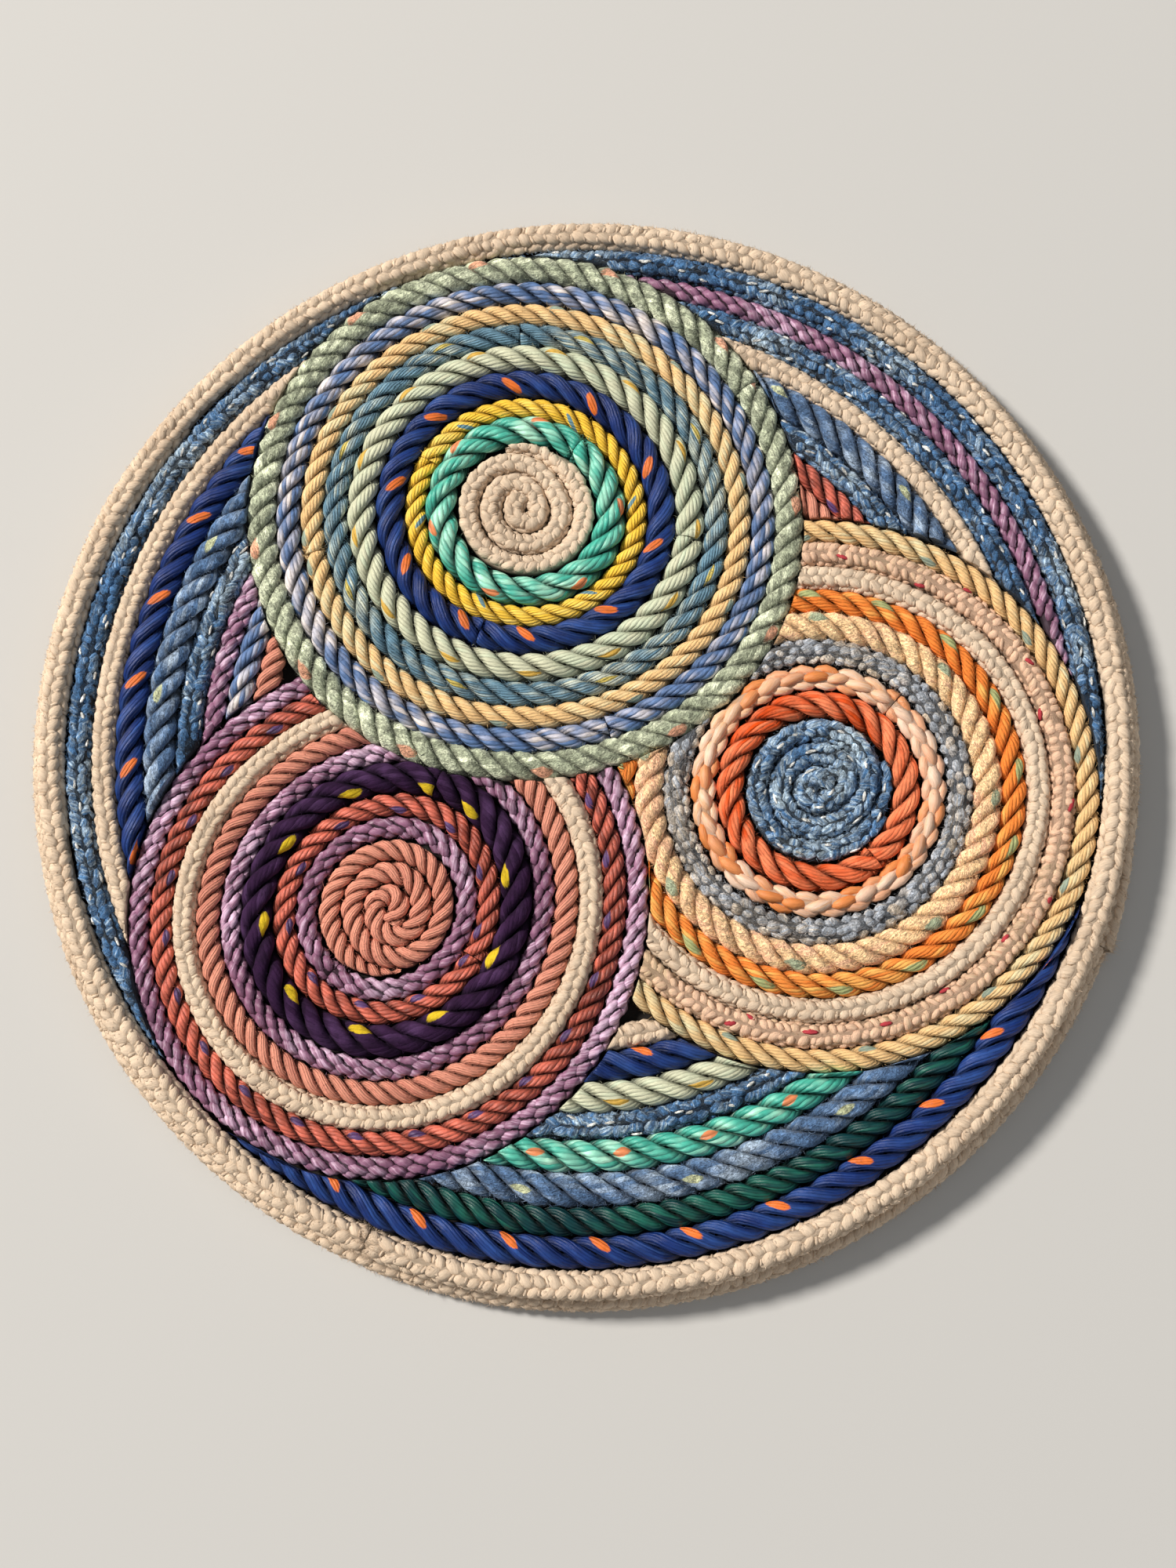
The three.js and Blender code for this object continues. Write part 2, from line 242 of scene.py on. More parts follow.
CORE_SIDES = 8
CORE_STEP = 5.0
CORE_SHORT = 0.4       # the core ends this much before the stitches
SPARE_ROWS = 3         # rows past a rope's end, dropped where they fall off it
TURN_SWAY = 13         # degrees that the rows of stitches wander round a rope
TURN_WAVES = (260.0, 110.0)
OVAL_INSIDE = 0.6      # the middle of a stitch lies at least this far inside a cut
UV_SHIFT = 50          # mm by which the fibres of stitches differ
LOBE_RING = (-90, -5, 40, 90, 140, 185)
LOBE_RINGS = 5
LOBE_CREST = 1.03      # in rope radii
LOBE_SCATTER = {"slant": 7, "along": 0.25, "round": 0.04, "size": 0.07}   # degrees, mm, radians, share
STEM_RING = (-90, 0, 60, 120, 180)
STEM_RINGS = 3
STEM_SLANT = 76
STEM_SIZES = (5.6, 1.9, 2.6)
STEM_CREST = 0.97      # in lobe crests
STEM_DIP = 0.1
STEM_SCATTER = {"slant": 8, "along": 0.2, "round": 0.06, "size": 0.1}
DASH_ARC = (35, 145)   # degrees round a rope
DASH_SLANT = 0.25
DASH_LENGTHS = (0.6, 1.0)     # shares of the kind's own dash
DASH_BREADTHS = (0.7, 1.0)
DASH_DEPTH = 1.3
DASH_CREST = 1.06
DASH_DIP = 0.03
ROUND_END = 2.0        # an oval's bluntness: 2 is an ellipse

FACE_ARC = (-16, 196)  # degrees round a rope that can be seen, 0 is outward in plan, 90 is up
FRONT_ARC = (-52, 190)
SIDE_ARC = (-118, 112)
CUT_RAGGED = 0.9
HAIR = 0.16
HAIR_LENGTHS = (1.0, 3.4)
HAIR_ROOTS = (0.86, 1.0)      # in rope radii
HAIR_INSIDE = 1.0
HAIR_ROUND = 0.8       # how much hairs point round a rope, where along it is 1
HAIR_LEAN = 0.5        # and off it
HAIR_LIFTS = (0.3, 1.6)
HAIR_TONE = 2.6        # hairs differ from each other this much more than strands do
# Hairs' shade numbers, kept high so that little painted shade falls on them.
HAIR_SHADES = (0.8, 1.0)
LOWEST_HAIR = 0.5
END_LEAN = 1.0
END_HAIRS = {"count": 40, "lengths": (1.5, 3.5), "reach": 4}
RIM_END_HAIRS = {"count": 90, "lengths": (2.5, 5.0), "reach": 5}
RIM_STITCHES = {"pitch": 6.0, "oval": (9.6, 6.4, 4.0)}
TUFT = 0.3
TUFT_ARC = (-70, 90)
TUFT_LENGTHS = (0.9, 2.6)
TUFT_LEAN = 1.4
RIM_TUFTS = 2.4        # tufts per mm along the rim's outer side
ROPE_SEED = 100
RIM_SEED = 20

DEPTH_SHADE = 0.55     # painted shade: how much darker the surface is made down between strands
CREVICE_SHADE = 0.72   # and painted shade down between ropes, where their neighbours keep the light off
CREVICE_TOP = 0.42     # in rope radii above a rope's middle
WOOLLY = 0.8           # ropes with more loose fibre than this are woolly
GLOSSY = 0.6           # and with less roughness than this are shiny
DULL = 0.95            # roughness of the hollows between shiny strands
SPECULAR = 0.15
SHINY_SPECULAR = 0.42
WOOL_SHEEN = 0.15
WORN = (0.9, 1.3)      # wear at which the faded colour starts, and is full
CREST_LIGHT = 1.06     # painted light on a strand's or a stitch's crest
RELIEF = 0.6           # mm

PLY = 1.7
DARK_FACE_DEPTH = 0.8       # the face's dark colour fades out this far down the board's edge
DARK_FACE_FULL = 0.2
BOARD_SIDES = 256
BOARD_EASE = 0.4       # its eased edges
GAP_REACH = 60         # degrees each side of a gap's bearing in which its rows lie


def put(name, data):
    """A new object in the scene."""
    made = bpy.data.objects.new(name, data)
    bpy.context.scene.collection.objects.link(made)
    return made


def linear(code):
    """A colour code such as #d9cfbd as linear RGBA."""
    values = [int(code[i:i + 2], 16) / 255 for i in (1, 3, 5)]
    return [v / 12.92 if v <= 0.04045 else ((v + 0.055) / 1.055) ** 2.4 for v in values] + [1.0]


# ---- Lines that ropes follow: s is the length along one, out and up are across it
class Arc:
    def __init__(self, centre, radius, start, end):
        self.centre = centre
        self.radius = radius
        self.start = math.radians(start)
        self.length = math.radians(end - start) * radius

    def place(self, s, out, up):
        angle = self.start + s / self.radius
        reach = self.radius + out
        x = self.centre[0] + reach * np.cos(angle)
        y = self.centre[1] + reach * np.sin(angle)
        return np.stack(np.broadcast_arrays(x, y, up), axis=-1)


class Coil:
    """Turns run level, then dive in by one width."""

    def __init__(self, centre, width, start):
        last = COIL_TURNS + COIL_DIVE * COIL_TAIL
        turn = np.linspace(COIL_DIVE, last, COIL_SAMPLES)
        whole = np.floor(turn)
        part = np.clip((turn - whole) / COIL_DIVE, 0, 1)
        climb = part * part * (3 - 2 * part)
        radius = width * (COIL_EYE + whole - 1 + climb)
        angle = math.radians(start) + TURN * turn
        points = np.stack([centre[0] + radius * np.cos(angle), centre[1] + radius * np.sin(angle)], 1)
        # The inner end runs straight on to fill the eye.
        back = (points[0] - points[1]) / np.linalg.norm(points[0] - points[1])
        extra = np.linspace(COIL_PLUG * width, 0, PLUG_SAMPLES, endpoint=False)[:, None]
        self.points = np.concatenate([points[0] + back * extra, points])
        ahead = np.gradient(self.points, axis=0)
        steps = np.linalg.norm(np.diff(self.points, axis=0), axis=1)
        self.lengths = np.concatenate([[0], np.cumsum(steps)])
        self.length = self.lengths[-1]
        ahead /= np.linalg.norm(ahead, axis=1)[:, None]
        self.outward = np.stack([ahead[:, 1], -ahead[:, 0]], 1)

    def place(self, s, out, up):
        x, y, across_x, across_y = (
            np.interp(s, self.lengths, column) for column in (*self.points.T, *self.outward.T)
        )
        return np.stack(np.broadcast_arrays(x + out * across_x, y + out * across_y, up), axis=-1)


class Trim:
    """Discs that a rope is cut to: side 1 keeps what is outside a disc, -1 what is inside it."""

    def __init__(self, discs=()):
        self.discs = list(discs)

    def looser(self, extra):
        return Trim([(centre, radius + side * extra, side) for centre, radius, side in self.discs])

    def over(self, points):
        """How far each point is past a cut, negative where it may stay."""
        over = np.full(points.shape[:-1], UNCUT)
        for centre, radius, side in self.discs:
            apart = np.linalg.norm(points[..., :2] - centre, axis=-1)
            over = np.maximum(over, side * (radius - apart))
        return over

    def pushed(self, points):
        """The points, with those past a cut moved back to it."""
        points = points.copy()
        for centre, radius, side in self.discs:
            offset = points[..., :2] - centre
            apart = np.maximum(np.linalg.norm(offset, axis=-1), TINY)
            scale = np.where(side * (radius - apart) > 0, radius / apart, 1.0)
            points[..., :2] = centre + offset * scale[..., None]
        return points


def drift(points):
    """Bends the whole plan a little, as hand-laid rows are, fading out at the rim."""
    x, y = points[:, 0].copy(), points[:, 1].copy()
    fade = DRIFT * np.clip(1 - (x * x + y * y) / FIELD_RADIUS ** 2, 0, None)
    wave = TURN / DRIFT_WAVE
    points[:, 0] = x + fade * np.sin(wave * y + DRIFT_PHASE_X)
    points[:, 1] = y + fade * np.sin(wave * x + DRIFT_PHASE_Y)


def step_side_joint(points):
    """The side turn's upper end stands out from the lower end that it meets."""
    bearing = np.degrees(np.arctan2(points[:, 1], points[:, 0]))
    past = np.mod(bearing - SIDE_JOINT, 360)
    out = np.where(past <= SIDE_JOINT_RUN, SIDE_JOINT_STEP * (1 - past / SIDE_JOINT_RUN), 0)
    points[:, :2] *= (1 + out / np.linalg.norm(points[:, :2], axis=1))[:, None]


def stay(points):
    return points


def pressed(out, up):
    """A rope's section pressed towards a square."""
    reach = np.hypot(out, up)
    total = np.abs(out / reach) ** SQUARED + np.abs(up / reach) ** SQUARED
    scale = total ** (-1 / SQUARED)
    return out * scale, up * scale


# ---- Meshes
class Shape:
    """Closed parts of one mesh. tone, mark and shade are numbers that the materials read."""

    def __init__(self):
        self.parts = {name: [] for name in ("points", "faces", "uv", "tone", "mark", "shade", "flat")}
        self.count = 0

    def add(self, points, faces, uv, tone, mark, shade, flat=None):
        n = len(points)
        self.parts["points"].append(points)
        self.parts["faces"].append(faces + self.count)
        self.parts["uv"].append(uv)
        for name, values in (("tone", tone), ("mark", mark), ("shade", shade)):
            self.parts[name].append(np.broadcast_to(values, (n,)))
        self.parts["flat"].append(np.zeros(len(faces), bool) if flat is None else flat)
        self.count += n

    def build(self, name, material, bend):
        data = {key: np.concatenate(value) for key, value in self.parts.items()}
        points = data["points"].astype(float)
        bend(points)
        faces = data["faces"]
        mesh = bpy.data.meshes.new(name)
        mesh.vertices.add(len(points))
        mesh.vertices.foreach_set("co", (points * MM).ravel())
        mesh.loops.add(faces.size)
        mesh.loops.foreach_set("vertex_index", faces.ravel())
        mesh.polygons.add(len(faces))
        mesh.polygons.foreach_set("loop_start", np.arange(0, faces.size, 3))
        mesh.polygons.foreach_set("use_smooth", ~data["flat"])
        mesh.update(calc_edges=True)
        layer = mesh.uv_layers.new(name="lay")
        layer.uv.foreach_set("vector", data["uv"][faces.ravel()].ravel())
        for key in ("tone", "mark", "shade"):
            made = mesh.attributes.new(key, "FLOAT", "POINT")
            made.data.foreach_set("value", data[key].astype(np.float32))
        mesh.materials.append(material)
        return put(name, mesh)


def add_tube(shape, points, trim, uv, tone, mark, shade):
    """A tube of stations by sides, each side's line cut where it meets a trim, with flat ends."""
    stations, sides = points.shape[:2]
    over = trim.over(points)
    kept = over < 0
    if not kept.any():
        return
    columns = np.arange(sides)
    nearest = over.argmin(axis=0)
    reaches = kept.any(axis=0)
    first = np.where(reaches, kept.argmax(axis=0), nearest)
    last = np.where(reaches, stations - 1 - kept[::-1].argmax(axis=0), nearest)
    start = np.where(reaches, np.maximum(first - 1, 0), nearest)
    stop = np.where(reaches, np.minimum(last + 1, stations - 1), nearest)
    points = points.copy()
    for inner, outer in ((first, start), (last, stop)):
        past, within = over[outer, columns], over[inner, columns]
        crosses = (past > 0) & (within < 0)
        share = np.where(crosses, within / np.where(crosses, within - past, 1.0), 1.0)[:, None]
        near, far = points[inner, columns], points[outer, columns]
        points[outer, columns] = near + (far - near) * np.clip(share, 0, 1)
    points = trim.pushed(points)
    index = np.clip(np.arange(stations)[:, None], start, stop) * sides + columns
    around = np.roll(index, -1, axis=1)
    a, b, c, d = index[:-1], index[1:], around[1:], around[:-1]
    faces = np.concatenate([
        np.stack([a, b, c], -1).reshape(-1, 3),
        np.stack([a, c, d], -1).reshape(-1, 3),
    ])
    cap_centres = stations * sides + np.arange(2)
    low = np.stack([np.full(sides, cap_centres[0]), index[0], around[0]], -1)
    high = np.stack([np.full(sides, cap_centres[1]), around[-1], index[-1]], -1)
    caps = np.concatenate([low, high])
    flat = np.concatenate([np.zeros(len(faces), bool), np.ones(len(caps), bool)])
    faces = np.concatenate([faces, caps])
    whole = (faces[:, 0] != faces[:, 1]) & (faces[:, 1] != faces[:, 2]) & (faces[:, 2] != faces[:, 0])
    rows = points.reshape(-1, 3)
    ends = np.stack([rows[index[0]].mean(0), rows[index[-1]].mean(0)])
    rows = np.concatenate([rows, ends])
    uv = np.concatenate([uv.reshape(-1, 2), [uv[0, 0], uv[-1, 0]]])
    shade = np.concatenate([np.broadcast_to(shade, (stations, sides)).ravel(), [CAP_SHADE] * 2])
    used, renumbered = np.unique(faces[whole], return_inverse=True)
    shape.add(
        rows[used], renumbered.reshape(-1, 3), uv[used], tone, mark, shade[used], flat[whole],
    )


def slow_wave(rng, s, size, waves=(71.0, 33.0, 17.0)):
    """A smooth random change along a rope, within about size each way."""
    return sum(
        size / len(waves) * np.sin(TURN * s / wave + rng.uniform(0, TURN)) for wave in waves
    )


def spaced(length, step):
    """Places along a length, no more than a step apart."""
    return np.linspace(0, length, math.ceil(length / step) + 1)


class Rope:
    """A rope being made: its mesh, its line, kind, middle's height and cuts, and its own random draws."""

    def __init__(self, line, kind, middle, trim, seed):
        self.shape = Shape()
        self.line = line
        self.kind = kind
        self.middle = middle
        self.trim = trim
        self.rng = np.random.default_rng(seed)
        self.radius = (kind["width"] + PLUMP[kind["build"]]) / 2

    def place(self, s, out, up):
        return self.line.place(s, out, up * ROPE_FLATTEN + self.middle)


def lay_strands(rope):
    """Three strands wound round each other. uv is turns past the top, and the place round a strand."""
    kind, rng = rope.kind, rope.rng
    pitch = kind["lay"] * kind["width"]
    s = spaced(rope.line.length, LUMPY_STEP if kind["lumps"] > LUMPY else SMOOTH_STEP)
    first = rng.uniform(-FLECK_SWAY, FLECK_SWAY)
    start = rng.uniform()
    around = np.radians(STRAND_RING)
    grid = (len(s), len(around))
    grow = rope.radius * (1 + slow_wave(rng, s, ROPE_SWAY))
    uneven = slow_wave(rng, s, LAY_SWAY, LAY_WAVES)
    marked = rng.integers(STRANDS)
    for strand in range(STRANDS):
        turns = LAY_HAND * s / pitch + uneven + start + strand / STRANDS
        angle = (TURN * turns + math.pi / 2)[:, None]
        size = kind.get("full", 1.0) * grow * (1 + slow_wave(rng, s, STRAND_SWAY, STRAND_WAVES))
        size = size[:, None] + rng.normal(0, kind["lumps"], grid) / STRAND_HIGH
        radial = STRAND_CENTRE * grow[:, None] + STRAND_HIGH * size * np.cos(around)
        across = STRAND_WIDE * size * np.sin(around)
        out, up = pressed(
            radial * np.cos(angle) - across * np.sin(angle),
            radial * np.sin(angle) + across * np.cos(angle),
        )
        points = rope.place(s[:, None], out, up)
        uv = np.stack(np.broadcast_arrays(turns[:, None] + first, around / TURN - 0.5), -1)
        # shade is 1 on a strand's outer side and 0 on its inner side; the material paints shade by it.
        shade = np.broadcast_to(0.5 + 0.5 * np.cos(around), grid)
        cut = rope.trim.looser(rng.uniform(0, CUT_RAGGED))
        add_tube(rope.shape, points, cut, uv, rng.uniform(-1, 1), float(strand == marked), shade)


@functools.cache
def oval_form(ring_angles, rings, blunt):
    """A closed oval along x, with unit half sizes, as points and triangles."""
    points = []
    sides = len(ring_angles)
    for ring in range(1, rings + 1):
        along = -math.cos(math.pi * ring / (rings + 1))
        girth = (1 - abs(along) ** blunt) ** (1 / blunt)
        for degrees in ring_angles:
            angle = math.radians(degrees)
            points.append((along, girth * math.cos(angle), girth * math.sin(angle)))
    low, high = rings * sides, rings * sides + 1
    faces = []
    for side in range(sides):
        after = (side + 1) % sides
        last = (rings - 1) * sides
        faces += [(low, after, side), (high, last + side, last + after)]
        for a, b in ((ring * sides + side, ring * sides + after) for ring in range(rings - 1)):
            faces += [(a, b, b + sides), (a, b + sides, a + sides)]
    return np.array(points + [(-1, 0, 0), (1, 0, 0)], float), np.array(faces)


def add_ovals(rope, s, angle, slant, sizes, crest, dip, tone, mark, form, lumps=0.0):
    """Ovals lying on a rope: s and angle (radians round it) are their middles, slant is from along it."""
    line = rope.line
    unit_points, unit_faces = oval_form(*form)
    spots = line.place(s, crest * np.cos(angle), crest * np.sin(angle))
    keep = (s > 0) & (s < line.length) & (rope.trim.over(spots) < -OVAL_INSIDE)
    if not keep.any():
        return
    s, angle, slant, tone, mark = (value[keep][:, None] for value in (s, angle, slant, tone, mark))
    length, breadth, depth = (size[keep][:, None] / 2 for size in sizes)
    along, across, high = (unit_points[None, :, axis] for axis in range(3))
    forward = along * length
    sideways = across * breadth
    place_s = s + forward * np.cos(slant) - sideways * np.sin(slant)
    turned = angle + (forward * np.sin(slant) + sideways * np.cos(slant)) / crest
    reach = crest - depth - dip * crest * along ** 2 + high * depth
    reach = reach + lumps * rope.rng.normal(0, 1, reach.shape)
    place_s = np.clip(place_s, 0.0, line.length)
    out, up = pressed(reach * np.cos(turned), reach * np.sin(turned))
    points = rope.trim.pushed(rope.place(place_s, out, up))
    count, each = points.shape[:2]
    faces = unit_faces[None] + (np.arange(count) * each)[:, None, None]
    shift = rope.rng.uniform(0, UV_SHIFT, (count, 1))
    uv = np.stack(np.broadcast_arrays(forward + shift, across * breadth), -1)
    # shade is 1 on a stitch's top and 0 underneath; the material paints shade by it.
    shade = np.broadcast_to(0.5 + 0.5 * high * (1 - 0.5 * along ** 2), (count, each))
    rope.shape.add(
        points.reshape(-1, 3), faces.reshape(-1, 3), uv.reshape(-1, 2),
        np.repeat(tone[:, 0], each), np.repeat(mark[:, 0], each), shade.ravel(),
    )


def add_core(rope):
    """The plain tube between the stitches, whose shade of 0 gives it the full painted hollow shade."""
    s = spaced(rope.line.length, CORE_STEP)[:, None]
    around = math.pi + TURN * np.arange(CORE_SIDES) / CORE_SIDES
    core = rope.radius * rope.kind["core"]
    points = rope.place(s, core * np.cos(around), core * np.sin(around))
    uv = np.stack(np.broadcast_arrays(s, np.arange(CORE_SIDES) * core * TURN / CORE_SIDES), -1)
    add_tube(rope.shape, points, rope.trim.looser(CORE_SHORT), uv, 0.0, 0.0, 0.0)


def add_dashes(rope):
    """Stray coloured yarns that cross a few stitches."""
    rng = rope.rng
    every, length, breadth = rope.kind["dashes"]
    low, high = DASH_ARC
    count = int(rope.line.length / every)
    add_ovals(
        rope, (np.arange(count) + rng.uniform(0, 1, count)) * every,
        rng.uniform(math.radians(low), math.radians(high), count),
        rng.normal(0, DASH_SLANT, count),
        [
            length * rng.uniform(*DASH_LENGTHS, count), breadth * rng.uniform(*DASH_BREADTHS, count),
            np.full(count, DASH_DEPTH),
        ],
        rope.radius * DASH_CREST, DASH_DIP, rng.uniform(-1, 1, count), np.ones(count),
        (STEM_RING, STEM_RINGS, ROUND_END),
    )


def stitch_rope(rope, arc):
    """Columns of slanted ovals over a core, in a braid each column slanting against its neighbours."""
    kind, rng = rope.kind, rope.rng
    add_core(rope)
    columns, pitch = kind["columns"], kind["pitch"]
    rows = int(rope.line.length / pitch) + SPARE_ROWS
    column, row = (grid.ravel() for grid in np.meshgrid(np.arange(columns), np.arange(rows)))
    middle_s = (row + np.mod(kind["brick"] * column, 1) - rng.uniform(0.5, 1)) * pitch
    sway = slow_wave(rng, middle_s, math.radians(TURN_SWAY), TURN_WAVES)
    angle = TURN * column / columns + math.radians(kind["turn"]) + sway
    seen = np.degrees(np.mod(angle - math.radians(arc[0]), TURN)) < arc[1] - arc[0]
    column, middle_s, angle = (value[seen] for value in (column, middle_s, angle))
    n = len(column)
    way = np.where(column % 2, 1, -1) if kind["mirrored"] else np.full(n, LAY_HAND)
    crest = rope.radius * LOBE_CREST
    tone = rng.uniform(-1, 1, n)
    if kind["stems"]:
        spread = STEM_SCATTER
        add_ovals(
            rope, middle_s + pitch / 2 + rng.normal(0, spread["along"], n),
            angle + rng.normal(0, spread["round"], n),
            np.radians(rng.normal(STEM_SLANT, spread["slant"], n)) * way,
            [size * rng.normal(1, spread["size"], n) for size in STEM_SIZES],
            crest * STEM_CREST, STEM_DIP, tone, np.zeros(n), (STEM_RING, STEM_RINGS, ROUND_END),
        )
    spread = {name: kind["loose"] * size for name, size in LOBE_SCATTER.items()}
    slant = np.radians(kind["slant"] + rng.normal(0, spread["slant"], n)) * way
    middle_s = middle_s + rng.normal(0, spread["along"], n)
    angle = angle + rng.normal(0, spread["round"], n)
    sizes = [size * rng.normal(1, spread["size"], n) for size in kind["oval"]]
    mark = np.zeros(n)
    if "two_tone" in kind:
        mark = np.clip(rng.uniform(*kind["two_tone"], n), 0, 1)
    add_ovals(
        rope, middle_s, angle, slant, sizes, crest, kind["dip"], -tone, mark,
        (LOBE_RING, LOBE_RINGS, kind["blunt"]), kind.get("lumps", 0.0),
    )
    if "dashes" in kind:
        add_dashes(rope)


def add_hairs(rope, count, arc, lengths, lean=HAIR_LEAN, span=None, thick=HAIR):
    """Loose fibre ends: thin closed spikes that lie along the rope and lift off it."""
    line, rng = rope.line, rope.rng
    low, high = span or (0.0, line.length)
    s = rng.uniform(low, high, count)
    angle = np.radians(rng.uniform(*arc, count))
    length = rng.uniform(*lengths, count)
    reach = rope.radius * rng.uniform(*HAIR_ROOTS, count)
    spots = line.place(s, reach * np.cos(angle), reach * np.sin(angle))
    keep = rope.trim.over(spots) < -HAIR_INSIDE
    s, angle, length, reach = (value[keep] for value in (s, angle, length, reach))
    n = len(s)
    if n == 0:
        return
    # Directions are along the rope, round it and off it.
    way = np.stack([
        rng.normal(0, 1, n), rng.normal(0, HAIR_ROUND, n), lean * rng.uniform(*HAIR_LIFTS, n),
    ], 1)
    way /= np.linalg.norm(way, axis=1)[:, None]
    side = np.cross(way, rng.normal(0, 1, (n, 3)))
    side /= np.linalg.norm(side, axis=1)[:, None]
    other = np.cross(way, side)
    base = [
        thick * (math.cos(TURN * k / 3) * side + math.sin(TURN * k / 3) * other) / 2 for k in range(3)
    ]
    offsets = np.stack([*base, way * length[:, None]], 1)
    each = offsets.shape[1]
    place_s = np.clip(s[:, None] + offsets[..., 0], 0.0, line.length)
    lift = reach[:, None] + offsets[..., 2]
    cosine, sine = np.cos(angle)[:, None], np.sin(angle)[:, None]
    out = lift * cosine - offsets[..., 1] * sine
    up = lift * sine + offsets[..., 1] * cosine
    points = rope.place(place_s, out, up)
    points[..., 2] = np.maximum(points[..., 2], LOWEST_HAIR)
    faces = np.array([(0, 2, 1), (0, 1, 3), (1, 2, 3), (2, 0, 3)])
    faces = faces[None] + (np.arange(n) * each)[:, None, None]
    tone = np.repeat(rng.uniform(-HAIR_TONE, HAIR_TONE, n), each)
    shade = np.repeat(rng.uniform(*HAIR_SHADES, n), each)
    uv = np.zeros((n * each, 2))
    rope.shape.add(points.reshape(-1, 3), faces.reshape(-1, 3), uv, tone, 0.0, shade)


def fray_ends(rope, arc, hairs):
    """Hairs on the last few mm at both ends of a rope."""
    length, reach = rope.line.length, hairs["reach"]
    for span in ((0, reach), (length - reach, length)):
        add_hairs(rope, hairs["count"], arc, hairs["lengths"], END_LEAN, span)


def make_rope(rope, arc=FACE_ARC):
    if rope.kind["build"] == "laid":
        lay_strands(rope)
    else:
        stitch_rope(rope, arc)
    add_hairs(rope, int(rope.line.length * rope.kind["fuzz"]), arc, HAIR_LENGTHS)
    fray_ends(rope, arc, END_HAIRS)


# ---- Materials
class Value:
    """A number in a shader, to reckon with."""

    def __init__(self, nodes, socket):
        self.nodes = nodes
        self.socket = socket

    def __add__(self, other):
        return self.nodes.maths("ADD", self, other)

    def __sub__(self, other):
        return self.nodes.maths("SUBTRACT", self, other)

    def __mul__(self, other):
        return self.nodes.maths("MULTIPLY", self, other)

    def __abs__(self):
        return self.nodes.maths("ABSOLUTE", self)


class Nodes:
    """Adds shader nodes to a new material and joins them up."""

    def __init__(self, name):
        self.material = bpy.data.materials.new(name)
        self.material.use_nodes = True
        self.tree = self.material.node_tree
        self.shader = self.tree.nodes["Principled BSDF"]

    def add(self, kind, inputs=(), **settings):
        node = self.tree.nodes.new(kind)
        for name, value in settings.items():
            setattr(node, name, value)
        self.feed(node, dict(inputs))
        return node

    def feed(self, node, inputs):
        for key, value in inputs.items():
            if isinstance(value, Value):
                value = value.socket
            if isinstance(value, bpy.types.NodeSocket):
                self.tree.links.new(value, node.inputs[key])
            else:
                node.inputs[key].default_value = value

    def maths(self, operation, *values):
        node = self.add("ShaderNodeMath", dict(enumerate(values)), operation=operation)
        return Value(self, node.outputs[0])

    def blend(self, share, first, second):
        node = self.add("ShaderNodeMix", {0: share, 6: first, 7: second}, data_type="RGBA")
        return node.outputs[2]

    def scaled(self, colour, factor):
        return self.add("ShaderNodeVectorMath", {0: colour, "Scale": factor}, operation="SCALE").outputs[0]

    def number(self, name):
        return Value(self, self.add("ShaderNodeAttribute", attribute_name=name).outputs["Fac"])

    def noise(self, where, scale, detail=2.0, roughness=0.5, curl=0.0):
        inputs = {
            "Vector": where, "Scale": scale, "Detail": detail, "Roughness": roughness, "Distortion": curl,
        }
        return Value(self, self.add("ShaderNodeTexNoise", inputs).outputs["Fac"])

    def ramp(self, value, low, high):
        """Smoothly 0 to 1 as the value goes from low to high."""
        inputs = {"Value": value, "From Min": low, "From Max": high}
        node = self.add("ShaderNodeMapRange", inputs, interpolation_type="SMOOTHSTEP")
        return Value(self, node.outputs[0])

    def vector(self, x, y, z):
        return self.add("ShaderNodeCombineXYZ", {0: x, 1: y, 2: z}).outputs[0]

    def split(self, vector):
        parts = self.add("ShaderNodeSeparateXYZ", {0: vector}).outputs
        return [Value(self, part) for part in parts]

    def bump(self, height, millimetres):
        inputs = {"Height": height, "Distance": millimetres * MM, "Strength": 1.0}
        self.feed(self.shader, {"Normal": self.add("ShaderNodeBump", inputs).outputs[0]})

    def finish(self, colour, roughness, specular, sheen=0.0):
        self.feed(self.shader, {
            "Base Color": colour, "Roughness": roughness, "Specular IOR Level": specular,
            "Sheen Weight": sheen,
        })
        return self.material


